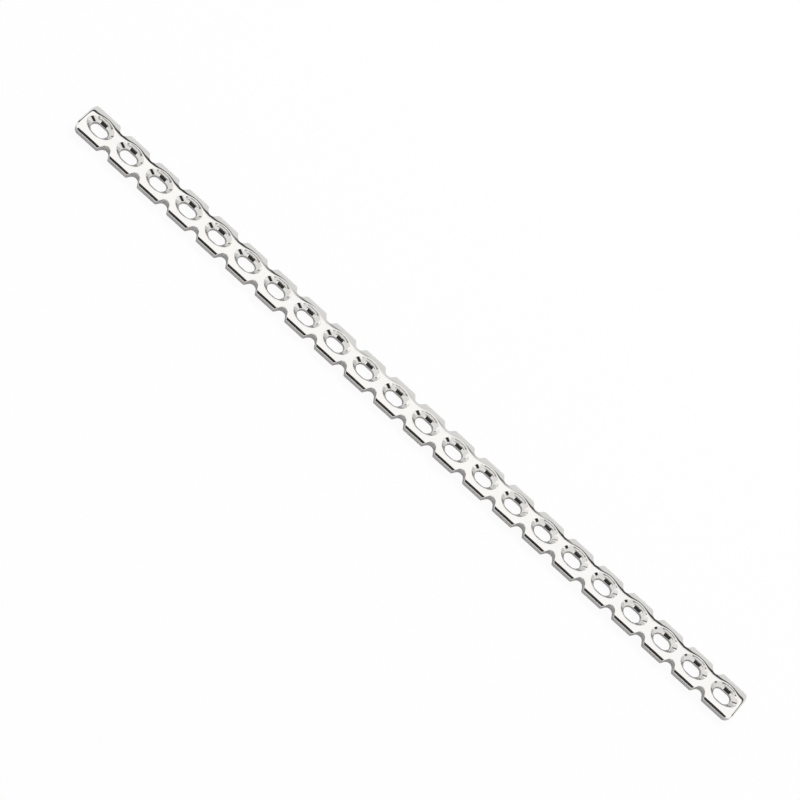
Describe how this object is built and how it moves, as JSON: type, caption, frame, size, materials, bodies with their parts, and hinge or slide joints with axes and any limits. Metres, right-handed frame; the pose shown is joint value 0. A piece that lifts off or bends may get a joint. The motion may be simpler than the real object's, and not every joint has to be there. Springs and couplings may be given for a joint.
{
  "type": "bone reconstruction plate",
  "caption": "Straight notched bone plate with a line of oval compression screw holes, polished steel.",
  "frame": {"origin": "centre of the flat underside, halfway between the two end screw holes", "axes": "+X along the plate, +Y across it, +Z out of the side that the screws enter"},
  "size_m": [0.2644, 0.011, 0.0032],
  "materials": {
    "polished_steel": "polished"
  },
  "bodies": {
    "root": {"bone_plate": "polished_steel"}
  },
  "joints": []
}
